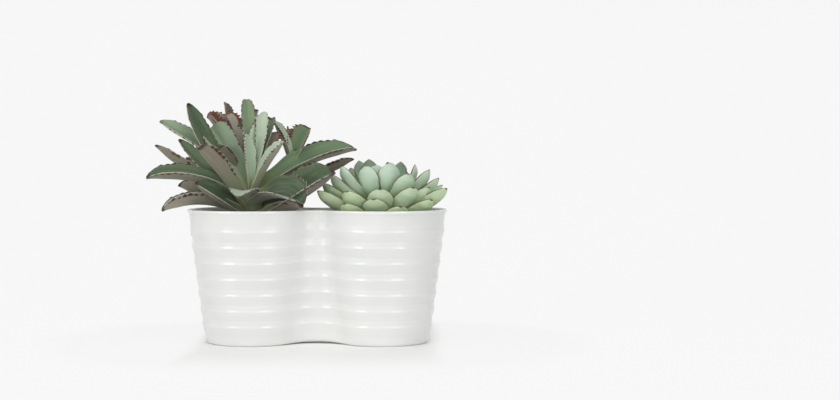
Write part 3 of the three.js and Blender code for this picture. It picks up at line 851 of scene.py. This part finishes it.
# Bends, fills out and places a copy of a blank so that it runs from its stem to its tip
def placeLeaf(blank, start, tip, size, roll, looks, finish):
    bow, width, thick = size
    leaf = blank.copy()
    leaf.data = blank.data.copy()
    bpy.context.collection.objects.link(leaf)
    chord = tip - start
    forward = chord.normalized()
    above = (Vector((0, 0, 1)) - forward * forward.z).normalized()
    bend = 4 * math.atan(2 * bow / chord.length)
    length = chord.length * (bend / 2) / math.sin(bend / 2)
    pickOnly(leaf)
    leaf.scale = (width, width, length)
    bpy.ops.object.transform_apply(location=False, rotation=False, scale=True)
    applyModifier(leaf, "SOLIDIFY", thickness=thick, offset=-1.0, vertex_group="fullness",
                  thickness_vertex_group=finish["edge"], material_offset=1, material_offset_rim=2)
    if finish["soften"]:
        applyModifier(leaf, "SUBSURF", levels=1, render_levels=1)
    leaf.rotation_euler = (0, 0, math.radians(roll))
    bpy.ops.object.transform_apply(location=False, rotation=True, scale=False)
    applyModifier(leaf, "SIMPLE_DEFORM", deform_method="BEND", deform_axis="X", angle=bend)
    first = forward * math.cos(bend / 2) + above * math.sin(bend / 2)
    upper = above * math.cos(bend / 2) - forward * math.sin(bend / 2)
    across = first.cross(upper)
    turned = Matrix((across, -upper, first)).transposed().to_4x4()
    leaf.matrix_world = Matrix.Translation(start) @ turned
    bpy.ops.object.transform_apply(location=True, rotation=True, scale=True)
    for name, value in zip(("tone", "rust"), looks):  # the rosette's leaves have a tone only
        layer = leaf.data.attributes.new(name, "FLOAT", "POINT")
        layer.data.foreach_set("value", [value] * len(leaf.data.vertices))
    return leaf


def stemPiece(name, points, radii):
    deselectAll()
    bpy.ops.curve.primitive_bezier_curve_add(location=(0, 0, 0))
    stem = bpy.context.object
    stem.name = name
    line = stem.data.splines[0]
    line.bezier_points.add(len(points) - 2)
    for bezier, point, radius in zip(line.bezier_points, points, radii):
        bezier.co = point
        bezier.radius = radius / mm
        bezier.handle_left_type = bezier.handle_right_type = "AUTO"
    stem.data.bevel_depth = mm
    stem.data.bevel_resolution = 5
    stem.data.use_fill_caps = True
    bpy.ops.object.convert(target="MESH")
    return bpy.context.object


rimHeight = shellSettings["height"]
compostTop = growerTop - compostSettings["drop"] + compostSettings["crown"]
fork = compostTop + 12 * mm - rimHeight


def fromRim(place, x):
    return Vector((x + place[0] * mm, place[1] * mm, rimHeight + place[2] * mm))


forkAt = (0, 0, fork / mm)
branchLines = {
    "middle": [forkAt, (-1, -2, 0), (-2, -3, 18)],
    "left": [forkAt, (-7, 9, 8), (-12, 16, 42)],
    "right": [forkAt, (14, 20, 4), (31, 34, 34)],
}

# shape, branch, height on it, tip (right, back, above the rim), bow, width, roll, tone, rust
feltLeaves = [
    ("pointed", "left", 32, (-78, 5, 73), 0.5, 13, -50, 0.7, 0.3),
    ("pointed", "middle", 8, (-54, 2, 88), -6, 15, -55, 0.0, 0.0),
    ("pointed", "middle", 2, (-63, 12, 58), -3, 11, -45, 0.6, 0.2),
    ("pointed", "middle", 8, (-84, 20, 53), -4, 13, 20, 0.3, 0.0),
    ("pointed", "middle", 4, (-85, -22, 26), 9, 21, -20, 0.15, 0.0),
    ("pointed", "middle", -4, (-60, -14, 20), 0.5, 22, 28, 0.5, 0.0),
    ("pointed", "middle", -10, (-73, -18, -1), 11.5, 21, 0, 0.6, 0.0),
    ("pointed", "middle", -8, (-44, -30, 22), -1, 18, -46, 0.0, 0.0),
    ("blunt", "middle", -8, (-40, -42, 51), 3, 18.5, 10, 0.25, 0.1),
    ("blunt", "middle", 13, (-36, 12, 68), 2, 24, -60, 0.7, 0.5),
    ("blunt", "middle", 16, (-6, 8, 91.3), 2, 11.5, 0, 0.6, 0.6),
    ("pointed", "middle", 14, (-4, -12, 62), 1, 11, -125, 0.85, 0.6),
    ("pointed", "middle", 15, (10, 8, 81), 2, 14, 42, 0.95, 0.5),
    ("blunt", "middle", 12, (14, 24, 76), 3, 17, 10, 0.4, 0.2),
    ("ragged", "left", 38, (-41, 28, 77), 4, 17, 25, 0.6, 1.0),
    ("ragged", "left", 36, (-37, 22, 79), 3, 13, -30, 0.7, 0.9),
    ("ragged", "left", 40, (-27, 34, 89), 1, 9, 30, 0.1, 0.7),
    ("ragged", "left", 38, (-25, 20, 79), 3, 16, -15, 0.9, 1.0),
    ("pointed", "left", 40, (2, 26, 83), 3, 15, 20, 0.1, 0.0),
    ("pointed", "right", 34, (16, 24, 73), 2, 10, -50, 0.9, 0.5),
    ("pointed", "middle", 12, (27, -16, 56), 2, 14, 40, 0.95, 0.4),
    ("ragged", "right", 32, (45, 36, 68), 1, 20, 40, 0.5, 0.75),
    ("ragged", "right", 30, (27, 46, 67), 2, 15, 40, 0.2, 0.9),
    ("ragged", "middle", 14, (14, 26, 64), 3, 20, 30, 0.3, 1.0),
    ("pointed", "middle", 10, (84, 54, 49), 7, 25, 19, 0.5, 0.0),
    ("pointed", "right", 8, (82, 52, 41), 0.5, 12, -25, 0.2, 0.2),
    ("pointed", "middle", -8, (70, -24, 30.5), -4, 38, 38, 0.15, 0.1),
    ("pointed", "middle", 2, (45.5, -43, 6), 8, 30, 28, 0.0, 0.2),
    ("pointed", "middle", -8, (44, -34, 3), 1, 17, 0, 0.3, 0.0),
    ("folded", "middle", -11, (-7.5, -46, 11), 14.5, 24, 0, 0.75, 0.2),
    ("blunt", "left", 22, (-27, -7, 52), 2, 11, -10, 0.25, 0.1),
    ("pointed", "middle", 4, (-30, 52, 20), 9, 19, 0, 0.2, 0.0),
    ("pointed", "middle", 6, (6, 56, 36), 8, 19, 0, 0.3, 0.0),
    ("pointed", "left", 24, (-62, 44, 34), 8, 19, 0, 0.25, 0.1),
    ("pointed", "left", 28, (-28, 60, 58), 6, 18, 0, 0.35, 0.2),
    ("pointed", "right", 18, (34, 63, 30), 7, 17, 0, 0.2, 0.0),
]


def branchAt(points, height):
    for low, high in zip(points, points[1:]):
        if height <= high[2] or high is points[-1]:
            share = (height - low[2]) / (high[2] - low[2])
            return tuple(lerp(low[i], high[i], share) for i in range(3))


def buildFeltPlant():
    s = feltSettings
    skins = [feltAbove, feltBelow, feltMargin]
    blanks = {
        "pointed": leafBlank("pointedBlank", s["blank"], skins),
        "blunt": leafBlank("bluntBlank", {**s["blank"], "outline": s["bluntOutline"]}, skins),
        "ragged": leafBlank(
            "raggedBlank", {**s["blank"], "outline": s["bluntOutline"], "notch": s["raggedNotch"]}, skins),
        "folded": leafBlank(
            "foldedBlank", {**s["blank"], "outline": s["foldedOutline"], "cup": s["foldedCup"]}, skins),
    }
    leaves = []
    for shape, branch, height, tip, bow, width, roll, tone, rust in feltLeaves:
        start = fromRim(branchAt(branchLines[branch], height), -lobeAxis)
        size = (bow * mm, width * mm, s["thickness"])
        tip = fromRim(tip, -lobeAxis)
        leaves.append(placeLeaf(blanks[shape], start, tip, size, roll, (tone, rust), s["finish"]))
    for blank in blanks.values():
        bpy.data.objects.remove(blank)
    foliage = joinAll(leaves, "feltLeaves")
    placePiece(foliage, "kalanchoe_planting", ["kalanchoe"], 50)
    trunkFoot = (0, 0, (compostTop - compostSettings["rooting"] - rimHeight) / mm)
    trunkLine = [fromRim(place, -lobeAxis) for place in (trunkFoot, (0, 0, forkAt[2] - 6), forkAt)]
    stems = [stemPiece("trunk", trunkLine, [trunkRadius] * 3)]
    for name, line in branchLines.items():
        points = [fromRim(place, -lobeAxis) for place in line]
        radii = [s["branchRadius"], s["branchRadius"], s["branchTaper"] * s["branchRadius"]]
        stems.append(stemPiece(name + "Branch", points, radii))
    finishPiece(joinAll(stems, "feltStems"), "kalanchoe_planting", stemSkin, ["kalanchoe_trunk"])


buildFeltPlant()
print("felt-leaved plant made")


rosetteSettings = {
    "rise": 41,
    "reach": 54,
    "sink": -8,
    "stalkTop": 14,
    "width": 20,
    "thickness": 5.2 * mm,
    "bow": -8,
    "sideTwist": -15,  # degrees on a leaf that points straight to the right
    "finish": {"edge": 0.1, "soften": True},
    "blank": {
        "columns": 10,
        "rows": 22,
        "cup": 0.24,
        "cupCurve": 1.8,
        "roundness": 2.0,
        "fullness": [(0, 0.9), (0.5, 1), (0.85, 0.7), (1, 0.1)],
        "outline": [(0, 0.36), (0.3, 0.55), (0.55, 0.86), (0.73, 1), (0.87, 0.84), (0.95, 0.46), (1, 0.03)],
        "notch": 0.0,
        "notched": [(0, 0), (1, 0)],
    },
}

# Leaf tips (right, back, above the rim) and tone, from the outer leaves to the middle
rosetteTips = [
    ((16, -43, 4), 0.9),
    ((-30, -38, 6), 0.95),
    ((41, -30, 9), 0.9),
    ((-6, -44, 10), 0.8),
    ((-52.5, -22, 16), 0.85),
    ((-44, 22, 10), 0.7),
    ((-16, 43, 9), 0.8),
    ((14, 43, 8), 0.8),
    ((40, 29, 10), 0.7),
    ((53.5, -22, 18), 0.85),
    ((-28, -35, 16), 0.7),
    ((-1, -41, 18), 0.65),
    ((26, -35, 19), 0.5),
    ((39, -25, 19), 0.6),
    ((50, 5, 20), 0.5),
    ((-49, -12, 22), 0.6),
    ((-30, 33, 20), 0.5),
    ((2, 38, 22), 0.5),
    ((28, 30, 22), 0.4),
    ((47, -3, 26), 0.35),
    ((-42, -10, 29), 0.3),
    ((22, -26, 30), 0.35),
    ((39, -8, 33), 0.15),
    ((-27, 20, 34), 0.2),
    ((-6, 26, 34), 0.2),
    ((16, 24, 34), 0.1),
    ((-33, -12, 36), 0.1),
    ((-12, -17, 36), 0.1),
    ((27, 4, 37), 0.1),
    ((6, -15, 38), 0.05),
    ((-19.5, 14, 40), 0.1),
    ((15, 12, 39), 0.1),
    ((-11, 12, 41), 0.1),
    ((-3, -4, 36), 0.0),
    ((4, 2, 38.5), 0.0),
]


def buildRosette():
    s = rosetteSettings
    blank = leafBlank("rosetteBlank", s["blank"], [bloomAboveShaded, bloomBelow, bloomEdge])
    leaves = []
    for tip, tone in rosetteTips:
        inward = tip[2] / s["rise"]
        start = fromRim((0, 0, lerp(s["sink"], s["stalkTop"], inward)), lobeAxis)
        width = s["width"] * lerp(1.15, 0.98, inward ** 2)
        size = (s["bow"] * mm, width * mm, s["thickness"])
        twist = s["sideTwist"] * tip[0] / s["reach"] if tip[1] < 10 else 0
        leaves.append(placeLeaf(blank, start, fromRim(tip, lobeAxis), size, twist, (tone,), s["finish"]))
    bpy.data.objects.remove(blank)
    foliage = joinAll(leaves, "rosetteLeaves")
    placePiece(foliage, "echeveria_planting", ["echeveria"], 50)
    stalkFoot = compostTop - compostSettings["rooting"]
    stalk = turnedPiece("rosetteStalk", (lobeAxis, 0), [
        (0, stalkFoot),
        (stalkRadius, stalkFoot),
        (stalkRadius, rimHeight),
        (0.6 * stalkRadius, rimHeight + s["stalkTop"] * mm),
        (0, rimHeight + s["stalkTop"] * mm),
    ], 32)
    finishPiece(stalk, "echeveria_planting", stemSkin)


buildRosette()
print("rosette made")
